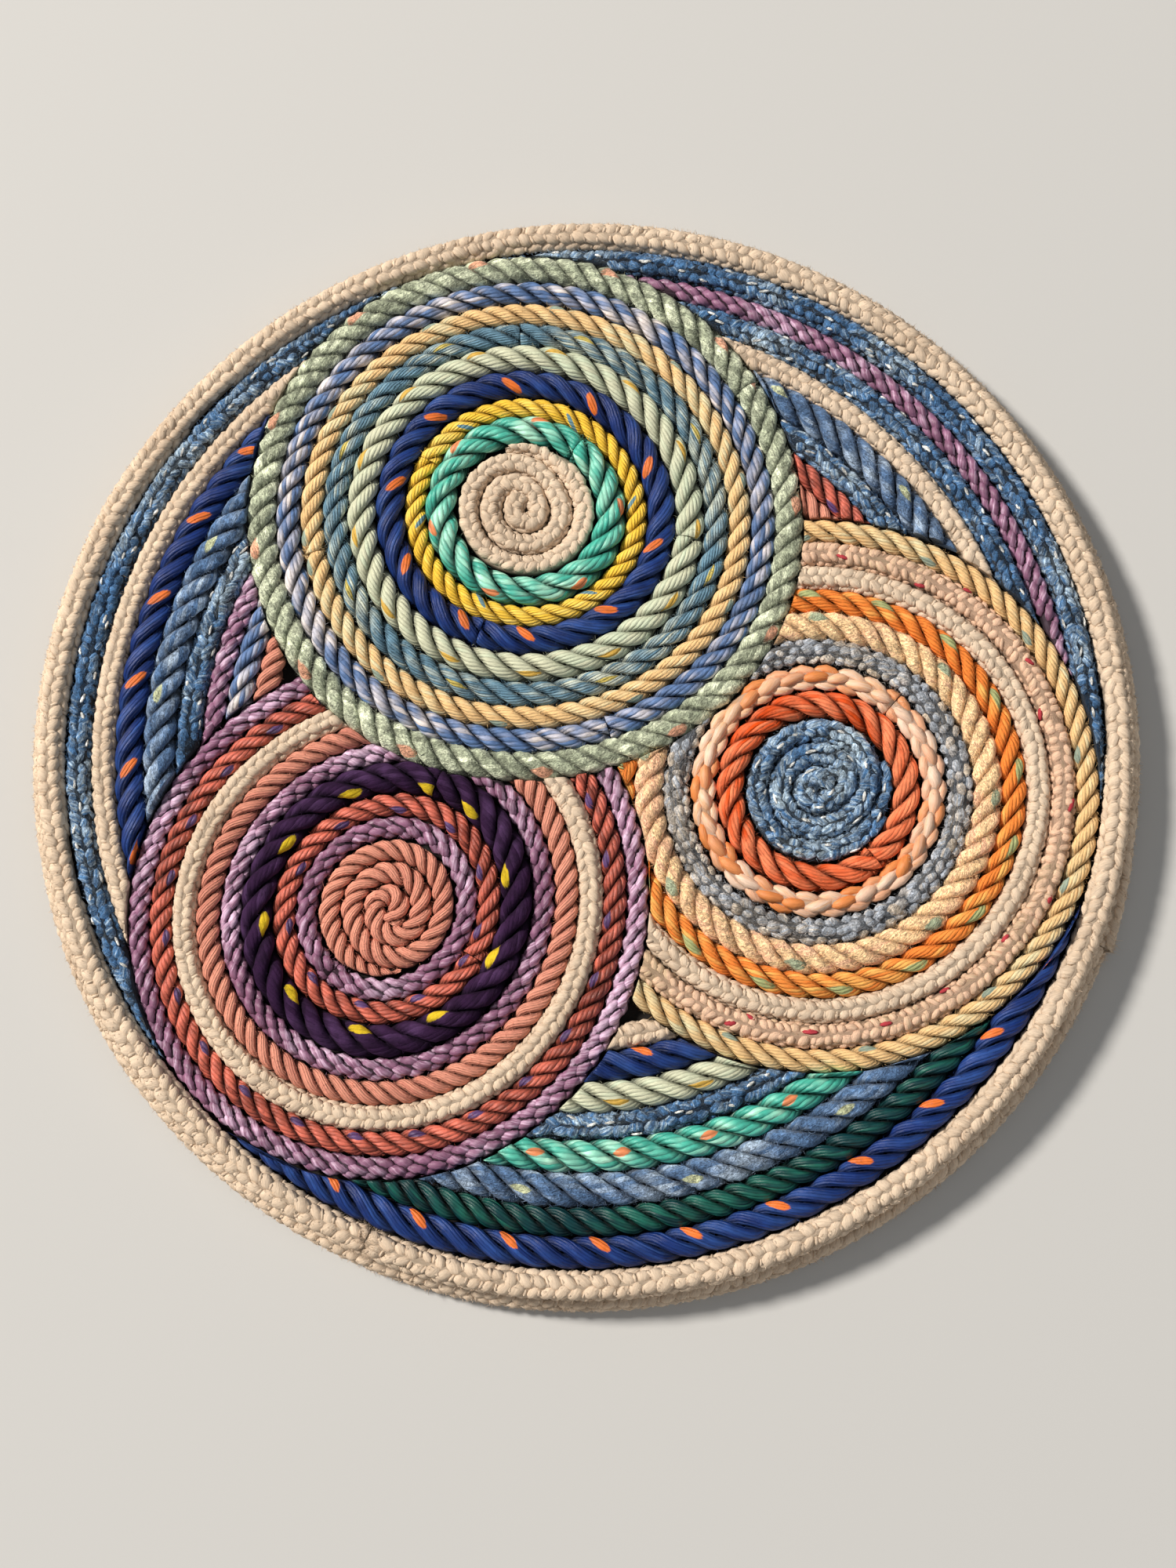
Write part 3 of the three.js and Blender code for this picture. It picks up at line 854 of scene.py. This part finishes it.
class Yarn(Nodes):
    """Material of one rope kind. Its steps build up wear, light, which scales the colour with the yarn's
    own tone and with painted shade, and height.
    """

    def __init__(self, name, kind):
        super().__init__(name)
        self.kind = kind
        self.where = self.add("ShaderNodeTexCoord").outputs["Object"]
        uv = self.add("ShaderNodeUVMap", uv_map="lay").outputs[0]
        self.along, self.around, _ = self.split(uv)
        # A stitch's uv is in mm, a strand's is as in lay_strands.
        self.along_mm, self.across_mm = self.along, self.around
        self.tone, self.mark, self.shade = (self.number(key) for key in ("tone", "mark", "shade"))
        self.laid = kind["build"] == "laid"
        if self.laid:
            self.pitch = kind["lay"] * kind["width"]
            self.girth = math.pi * kind["width"] * (STRAND_HIGH + STRAND_WIDE) / 2
            self.along_mm = self.along * self.pitch
            # Yarns turn back against the strand, so that they lie nearly along the rope.
            back = kind["yarn_turn"] * math.pi * kind["width"]
            self.across_mm = self.along * back + self.around * self.girth

    def drawn_out(self, along, across, seed, **settings):
        """Noise with so many waves per mm along and across the yarn, another for each strand."""
        where = self.vector(self.along_mm * along, self.across_mm * across, self.tone * seed)
        return self.noise(where, 1.0, **settings)

    def add_fibres(self):
        self.fibres = self.drawn_out(0.3, 2.4, seed=40.0, detail=3.0, roughness=0.6)
        self.light = self.tone * 0.09 + 1.0 + (self.fibres * 0.7 - 0.35)
        self.height = self.fibres * 0.4
        self.wear = self.noise(self.where, 28.0, detail=3.0)

    def add_mottle(self):
        patches = self.ramp(self.noise(self.where, 170.0), 0.35, 0.65)
        self.light += (patches * 2.0 - 1.0) * self.kind["mottle"]

    def add_yarns(self):
        """A strand's yarns, each a little lighter or more worn, with painted shade in the grooves between
        them.
        """
        wobble = self.noise(self.where, 90.0)
        place = self.across_mm * (self.kind["yarns"] / self.girth) + wobble
        bulge = abs(self.maths("SINE", place * math.pi))
        own = self.vector(self.maths("FLOOR", place) * 5.3, self.along_mm * 0.05, self.tone * 17.0)
        one_yarn = self.noise(own, 1.0, detail=1.0)
        self.wear += one_yarn
        self.light += one_yarn * 0.5 - 0.25
        # Painted shade in the grooves between yarns.
        groove = self.ramp(bulge, 0.7, 0.0) * wobble
        self.light -= groove * (0.55 * self.kind["yarn"])
        self.height += bulge * (0.9 * self.kind["yarn"])

    def add_streaks(self):
        """Worn streaks along a stitch."""
        self.wear += self.drawn_out(0.07, 0.9, seed=17.0)

    def fleck_share(self):
        """Where the fleck's colour shows: on marked stitches, or in spots along a marked strand."""
        if not self.laid:
            return self.mark
        kind, every = self.kind, self.kind["fleck_every"]
        lap = self.maths("FRACT", self.along * (1 / every) + 0.5)
        far = (lap - 0.5) * (every * self.pitch)
        ahead = far * (2 / kind["fleck_length"])
        turn = kind["fleck_turn"] * math.pi * kind["width"] / self.pitch
        aside = (far * turn + (self.around - 0.5) * self.girth) * (2 / kind["fleck_breadth"])
        reach = ahead * ahead + aside * aside + (self.fibres * 1.2 - 0.6)
        return self.mark * self.ramp(reach, 1.15, 0.85)

    def add_fluff(self):
        """Loose fibres in wavy streaks."""
        fluff = self.drawn_out(0.4, 1.3, seed=9.0, detail=3.0, roughness=0.6, curl=1.6)
        streak = self.ramp(fluff, 0.3, 0.7) * self.kind["fibre"]
        self.light += streak * 0.5 - self.kind["fibre"] * 0.25
        self.height += streak * 0.35

    def add_wool(self, dark):
        """Soft tufts and curls, with painted shade in the hollows between the tufts."""
        tufts = self.noise(self.where, 260.0, detail=3.0, roughness=0.6, curl=0.8)
        tufts = self.ramp(tufts, 0.3, 0.6)
        # Painted shade between the tufts, scaled by the kind's painted hollow shade.
        self.light *= tufts * (0.6 * dark) + (1.02 - 0.4 * dark)
        self.height += tufts * 0.7
        curls = self.ramp(self.drawn_out(0.5, 1.0, seed=23.0, curl=1.6), 0.36, 0.6)
        self.light *= curls * 0.64 + 0.72
        self.height += curls * 0.3

    def paint_crevice_shade(self, middle):
        """Painted shade: down beside its neighbours a rope is made darker. middle is how high its own
        middle lies.
        """
        top = middle + CREVICE_TOP * ROPE_FLATTEN * self.kind["width"] / 2
        above = self.ramp(self.split(self.where)[2], middle * MM, top * MM)
        self.light *= above * CREVICE_SHADE + (1 - CREVICE_SHADE)


def rope_material(name, kind, middle=None):
    """Yarn of one rope kind. middle is how high a rope with neighbours lies."""
    yarn = Yarn(name, kind)
    yarn.add_fibres()
    if "mottle" in kind:
        yarn.add_mottle()
    if yarn.laid:
        yarn.add_yarns()
    else:
        yarn.add_streaks()
    colour = yarn.blend(yarn.ramp(yarn.wear, *WORN), linear(kind["colour"]), linear(kind["faded"]))
    if "fleck" in kind:
        colour = yarn.blend(yarn.fleck_share(), colour, linear(kind["fleck"]))
    yarn.add_fluff()
    dark = kind.get("deep", DEPTH_SHADE)
    woolly = kind["fibre"] > WOOLLY
    if woolly:
        yarn.add_wool(dark)
    # Painted shade in the hollows between strands and stitches, as deep as the kind says, and painted light
    # on the crests.
    yarn.light *= yarn.ramp(yarn.shade, 0.28, 0.8) * dark + (CREST_LIGHT - dark)
    # Painted shade down between neighbouring ropes; the rim's material has none.
    if middle is not None:
        yarn.paint_crevice_shade(middle)
    yarn.bump(yarn.height, RELIEF)
    roughness, specular, sheen = kind["roughness"], SPECULAR, WOOL_SHEEN if woolly else 0.0
    if roughness < GLOSSY:
        roughness = yarn.ramp(yarn.shade, 0.1, 0.5) * (roughness - DULL) + DULL
        specular = SHINY_SPECULAR
    return yarn.finish(yarn.scaled(colour, yarn.light), roughness, specular, sheen)


def board_material():
    """Plies on the edge, grain on the back, and the face near black."""
    nodes = Nodes("birch_board")
    x, y, z = nodes.split(nodes.add("ShaderNodeTexCoord").outputs["Object"])
    figure = nodes.noise(nodes.vector(x * 3.0, y * 34.0, z * 3.0), 2.4, detail=4.0, curl=0.6)
    grain = nodes.noise(nodes.vector(x * 60.0, y * 1600.0, z), 1.0, detail=3.0)
    wood = nodes.blend(nodes.ramp(figure, 0.35, 0.65), linear("#cda873"), linear("#b98d57"))
    wood = nodes.scaled(wood, grain * 0.35 + 0.83)
    facing = nodes.split(nodes.add("ShaderNodeNewGeometry").outputs["Normal"])[2]
    plies = nodes.maths("SINE", z * (TURN / (2 * PLY * MM)))
    on_edge = nodes.ramp(abs(facing), 0.8, 0.3)
    wood = nodes.blend(on_edge * nodes.ramp(plies, 0.2, 0.5), wood, linear("#8a6238"))
    # The face is coloured near black down to just under its edge.
    dark_face = nodes.ramp(z, (BOARD_THICKNESS - DARK_FACE_DEPTH) * MM, (BOARD_THICKNESS - DARK_FACE_FULL) * MM)
    nodes.bump(grain + plies * on_edge, 0.12)
    return nodes.finish(nodes.blend(dark_face, wood, linear("#1d1713")), 0.7, 0.3)


# ---- The plan's ropes
def rope_middle(width):
    return BOARD_THICKNESS + GLUE_LINE + width / 2 * ROPE_FLATTEN


def coil_radius(width):
    return width * (COIL_TURNS - 1 + COIL_EYE + 0.5)


def lay_out_circles():
    for circle in CIRCLES:
        edge = coil_radius(KINDS[circle["coil"]]["width"])
        circle["radii"] = []
        for kind in circle["rings"]:
            width = KINDS[kind]["width"]
            circle["radii"].append(edge + ROPE_GAP + width / 2)
            edge += ROPE_GAP + width
        circle["radius"] = edge
        bearing = math.radians(circle["bearing"])
        circle["centre"] = (FIELD_RADIUS - edge) * np.array([math.cos(bearing), math.sin(bearing)])


def hidden_half_angle(centre, radius, cover):
    apart = float(np.linalg.norm(cover["centre"] - centre))
    reach = cover["radius"] + ROPE_GAP
    cosine = (radius ** 2 + apart ** 2 - reach ** 2) / (2 * radius * apart)
    return math.degrees(math.acos(max(-1.0, min(1.0, cosine))))


def open_arcs(centre, radius, width, covers):
    """The arcs of a partly hidden ring that no cover hides, in degrees. A whole ring has none."""
    hidden = []
    for cover in covers:
        halves = [hidden_half_angle(centre, radius + part * width, cover) for part in (-TIP, 0, TIP)]
        if halves[1] == 0:
            continue
        half = min(value for value in halves if value > 0)
        toward = cover["centre"] - centre
        start = (math.degrees(math.atan2(toward[1], toward[0])) - half) % 360
        hidden.append((start, start + 2 * half))
    if not hidden:
        return []
    hidden.sort()
    following = [start for start, _ in hidden[1:]] + [hidden[0][0] + 360]
    return [(end, after) for (_, end), after in zip(hidden, following) if after > end]


def lengthened(centre, radius, start, end, extra):
    """The arc between two bearings in degrees, longer by extra at both ends."""
    more = math.degrees(extra / radius)
    return Arc(centre, radius, start - more, end + more)


def planned_ropes():
    """Every cut rope as (node, kind, line, trim)."""
    origin = np.zeros(2)
    for index, circle in enumerate(CIRCLES):
        covers = CIRCLES[:index]
        discs = [(cover["centre"], cover["radius"] + ROPE_GAP, 1) for cover in covers]
        width = KINDS[circle["coil"]]["width"]
        coil = Coil(circle["centre"], width, circle["coil_start"])
        round_cut = Trim([(circle["centre"], coil_radius(width), -1)])
        yield f"{circle['name']}_coil", circle["coil"], coil, round_cut
        for ring, (kind, radius) in enumerate(zip(circle["rings"], circle["radii"])):
            joint = circle["joint"] + ring * JOINT_TURN
            arcs = open_arcs(circle["centre"], radius, KINDS[kind]["width"], covers)
            extra = END_TAPER if arcs else BUTT_SWELL - BUTT_GAP / 2
            for part, arc in enumerate(arcs or [(joint, joint + 360)]):
                name = f"{circle['name']}_ring_{ring + 1}{'ab'[part] if len(arcs) > 1 else ''}"
                yield name, kind, lengthened(circle["centre"], radius, *arc, extra), Trim(discs)
    discs = [(cover["centre"], cover["radius"] + ROPE_GAP, 1) for cover in CIRCLES]
    for gap in GAPS:
        edge = FIELD_RADIUS
        for row, kind in enumerate(gap["rows"]):
            width = KINDS[kind]["width"]
            radius = edge - width / 2
            edge -= width + ROPE_GAP
            for arc in open_arcs(origin, radius, width, CIRCLES):
                aside = ((arc[0] + arc[1]) / 2 - gap["bearing"] + 180) % 360 - 180
                if abs(aside) < GAP_REACH:
                    line = lengthened(origin, radius, *arc, END_TAPER)
                    yield f"{gap['name']}_row_{row + 1}", kind, line, Trim(discs)


def hand_over(piece, node, slot):
    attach(piece, "root")
    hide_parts(node)


def make_ropes(materials):
    for index, (node, name, line, trim) in enumerate(planned_ropes()):
        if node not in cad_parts:
            continue
        kind = dict(KINDS[name])
        middle = rope_middle(kind["width"])
        if isinstance(line, Coil):
            kind["width"] -= COIL_SLIMMER
        rope = Rope(line, kind, middle, trim, seed=ROPE_SEED + index)
        make_rope(rope)
        hand_over(rope.shape.build(f"{node}_rope", materials[name], drift), node, name)


def make_rim(material):
    kind = dict(KINDS["white"], width=RIM_WIDTH, **RIM_STITCHES)
    side_middle = BOARD_THICKNESS - RIM_WIDTH / 2 * ROPE_FLATTEN
    turns = [
        ("rim_front_turn", FRONT_TURN_RADIUS, rope_middle(RIM_WIDTH), FRONT_JOINT, FRONT_ARC, stay),
        ("rim_side_turn", SIDE_TURN_RADIUS, side_middle, SIDE_JOINT, SIDE_ARC, step_side_joint),
    ]
    for index, (node, radius, middle, joint, arc, bend) in enumerate(turns):
        line = lengthened(np.zeros(2), radius, joint, joint + 360, BUTT_SWELL - BUTT_GAP / 2)
        rope = Rope(line, kind, middle, Trim(), seed=RIM_SEED + index)
        make_rope(rope, arc)
        tufts = int(line.length * RIM_TUFTS)
        add_hairs(rope, tufts, TUFT_ARC, TUFT_LENGTHS, TUFT_LEAN, thick=TUFT)
        fray_ends(rope, arc, RIM_END_HAIRS)
        hand_over(rope.shape.build(f"{node}_braid", material, bend), node, "white")


def turned(name, profile, sides, material, capped):
    """A profile of radii and heights, in mm, turned round the middle."""
    angles = TURN * np.arange(sides) / sides
    rings = [np.stack([r * np.cos(angles), r * np.sin(angles), np.full(sides, z)], 1) for r, z in profile]
    last = (len(profile) - 1) * sides
    faces = [list(range(sides))[::-1]] if capped else []
    for ring in range(0, last, sides):
        for side in range(sides):
            a, b = ring + side, ring + (side + 1) % sides
            faces.append([a, b, b + sides, a + sides])
    if capped:
        faces.append(list(range(last, last + sides)))
    mesh = bpy.data.meshes.new(name)
    mesh.from_pydata((np.concatenate(rings) * MM).tolist(), [], faces)
    mesh.materials.append(material)
    return put(name, mesh)


def make_board():
    inner, top = BOARD_RADIUS - BOARD_EASE, BOARD_THICKNESS - BOARD_EASE
    profile = [(inner, 0.0), (BOARD_RADIUS, BOARD_EASE), (BOARD_RADIUS, top), (inner, BOARD_THICKNESS)]
    piece = turned("board_disc", profile, BOARD_SIDES, board_material(), capped=True)
    hand_over(piece, "board", "plywood")


# ---- Studio
CAMERA_DISTANCE = 0.845    # m, like the aim
CAMERA_RIGHT = 2.2     # degrees off the face's middle
CAMERA_BELOW = 10.3
CAMERA_AIM = (0.0033, -0.0199, 0.012)
LENS = 45.0
FLOOR_COLOUR = "#cdcdcb"
FLOOR_DROP = 0.1       # mm under the board
FLOOR_LAP = 4.0        # mm of the board's edge that lie on the floor
FLOOR_RADIUS = 6000.0
FLOOR_SIDES = 96
SKY_STRENGTH = 0.2


def make_camera():
    right, below = math.radians(CAMERA_RIGHT), math.radians(CAMERA_BELOW)
    way = Vector((
        math.sin(right) * math.cos(below), -math.sin(below), math.cos(right) * math.cos(below),
    ))
    data = bpy.data.cameras.new("camera")
    data.sensor_fit = "VERTICAL"
    data.sensor_height = 36.0
    data.lens = LENS
    camera = put("camera", data)
    aim = Vector(CAMERA_AIM)
    camera.location = aim + CAMERA_DISTANCE * way
    # The picture's up is the frame's +Y as seen from there.
    back = way.normalized()
    side = Vector((0, 1, 0)).cross(back).normalized()
    up = back.cross(side)
    camera.rotation_euler = Matrix((side, up, back)).transposed().to_euler()
    bpy.context.scene.camera = camera


def make_light(name, place, size, power, colour):
    """A round lamp, aimed at the middle of the board."""
    data = bpy.data.lights.new(name, "AREA")
    data.shape = "DISK"
    data.size = size
    data.energy = power
    data.color = colour
    lamp = put(name, data)
    lamp.location = place
    lamp.rotation_euler = Vector(place).to_track_quat("Z", "Y").to_euler()


def make_floor():
    """A wide round floor, open under the board so that the board's back can be seen from below."""
    material = Nodes("studio_floor").finish(linear(FLOOR_COLOUR), roughness=0.9, specular=0.2)
    profile = [(FLOOR_RADIUS, -FLOOR_DROP), (BOARD_RADIUS - FLOOR_LAP, -FLOOR_DROP)]
    floor = turned("studio_floor", profile, FLOOR_SIDES, material, capped=False)


def make_studio():
    make_floor()
    world = bpy.data.worlds.new("studio")
    bpy.context.scene.world = world
    world.use_nodes = True
    background = world.node_tree.nodes["Background"]
    background.inputs["Color"].default_value = (1, 1, 1, 1)
    background.inputs["Strength"].default_value = SKY_STRENGTH
    make_light("key", place=(-4.82, 2.24, 4.96), size=1.2, power=672.0, colour=(1.0, 0.94, 0.87))
    make_light("fill", place=(1.4, -0.6, 1.8), size=1.6, power=5.0, colour=(0.95, 0.97, 1.0))
    bpy.context.scene.view_settings.view_transform = "Standard"


lay_out_circles()
make_camera()
make_studio()
make_board()
make_ropes({
    name: rope_material(f"{name}_yarn", kind, rope_middle(kind["width"]))
    for name, kind in KINDS.items()
})
make_rim(rope_material("rim_yarn", KINDS["white"]))
